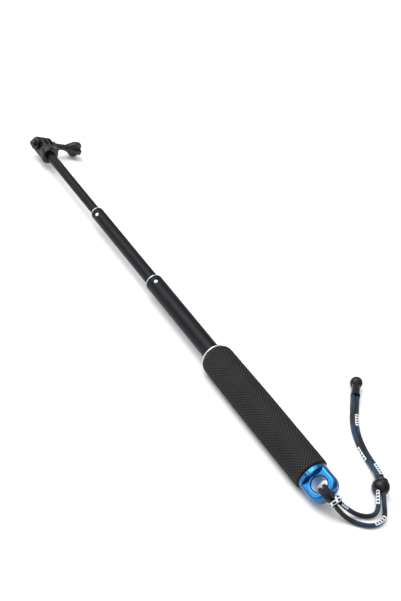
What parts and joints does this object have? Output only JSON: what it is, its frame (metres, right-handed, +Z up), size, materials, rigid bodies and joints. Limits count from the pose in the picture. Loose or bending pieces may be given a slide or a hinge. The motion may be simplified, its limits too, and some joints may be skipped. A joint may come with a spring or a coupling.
{
  "type": "telescopic camera pole",
  "caption": "Telescopic twist-lock hand pole with a knurled rubber grip, a finger-type camera mount with a thumbscrew, and a wrist cord on an end cap.",
  "frame": {"origin": "below the middle of the pole's box without the wrist cord, on the surface that the grip rests on", "axes": "+X along the pole from the wrist cap to the camera mount, +Y to the side away from the thumbscrew, +Z up"},
  "size_m": [0.5589, 0.1674, 0.032],
  "materials": {
    "black_anodised": "black anodised aluminium tube, satin",
    "bright_metal": "bright turned metal ring or rivet",
    "blue_anodised": "blue anodised aluminium, glossy",
    "grip_rubber": "black rubber with a fine diamond knurl",
    "seal_rubber": "black rubber ring",
    "bush_plastic": "black sliding plastic",
    "mount_plastic": "black moulded plastic, fine grain",
    "black_steel": "black oxide steel",
    "screw_steel": "plated steel",
    "cord_fabric": "braided cord, near black with teal and white marks",
    "cord_plastic": "black plastic bead, semi-gloss"
  },
  "bodies": {
    "handle": {"handle_tube": "black_anodised", "rubber_grip": "grip_rubber", "grip_ring": "bright_metal", "handle_guide_bush": "bush_plastic", "end_cap": "blue_anodised", "cap_seal": "seal_rubber", "cord_anchor_upper": "cord_fabric", "cord_anchor_lower": "cord_fabric", "cord_hitch": "cord_fabric", "cord_strand_inner": "cord_fabric", "cord_strand_outer": "cord_fabric", "cord_lock_body": "cord_plastic", "cord_lock_button": "cord_plastic", "cord_toggle": "cord_plastic"},
    "lower_lock": {"lower_lock_bush": "bush_plastic"},
    "lower_stage": {"lower_tube": "black_anodised", "lower_mouth_ring": "bright_metal", "lower_guide_bush": "bush_plastic", "lower_rivet": "bright_metal", "lower_lock_plug": "bush_plastic", "lower_lock_retainer": "screw_steel"},
    "middle_lock": {"middle_lock_bush": "bush_plastic"},
    "middle_stage": {"middle_tube": "black_anodised", "middle_mouth_ring": "bright_metal", "middle_guide_bush": "bush_plastic", "middle_rivet": "bright_metal", "middle_lock_plug": "bush_plastic", "middle_lock_retainer": "screw_steel"},
    "upper_lock": {"upper_lock_bush": "bush_plastic"},
    "upper_stage": {"upper_tube": "black_anodised", "upper_lock_plug": "bush_plastic", "upper_lock_retainer": "screw_steel", "head_insert": "black_anodised", "camera_mount": "mount_plastic", "cap_nut": "black_steel"},
    "thumbscrew": {"thumbscrew_stud": "screw_steel", "thumbscrew_knob": "mount_plastic"}
  },
  "joints": [
    {"name": "lower_slide", "type": "slide", "parent": "handle", "child": "lower_lock", "axis": [-1, 0, 0], "range_m": [0, 0.096]},
    {"name": "lower_twist", "type": "hinge", "parent": "lower_lock", "child": "lower_stage", "pos_m": [-0.10175, 0.01773, 0.016], "axis": [1, 0, 0], "range_deg": [0, 150]},
    {"name": "middle_slide", "type": "slide", "parent": "lower_stage", "child": "middle_lock", "axis": [-1, 0, 0], "range_m": [0, 0.082]},
    {"name": "middle_twist", "type": "hinge", "parent": "middle_lock", "child": "middle_stage", "pos_m": [0.00625, 0.01773, 0.016], "axis": [1, 0, 0], "range_deg": [0, 150]},
    {"name": "upper_slide", "type": "slide", "parent": "middle_stage", "child": "upper_lock", "axis": [-1, 0, 0], "range_m": [0, 0.086]},
    {"name": "upper_twist", "type": "hinge", "parent": "upper_lock", "child": "upper_stage", "pos_m": [0.11825, 0.01773, 0.016], "axis": [1, 0, 0], "range_deg": [0, 150]},
    {"name": "thumbscrew_turn", "type": "hinge", "parent": "upper_stage", "child": "thumbscrew", "pos_m": [0.25575, 0.01773, 0.016], "axis": [0, -0.9903, -0.1392], "continuous": true}
  ]
}
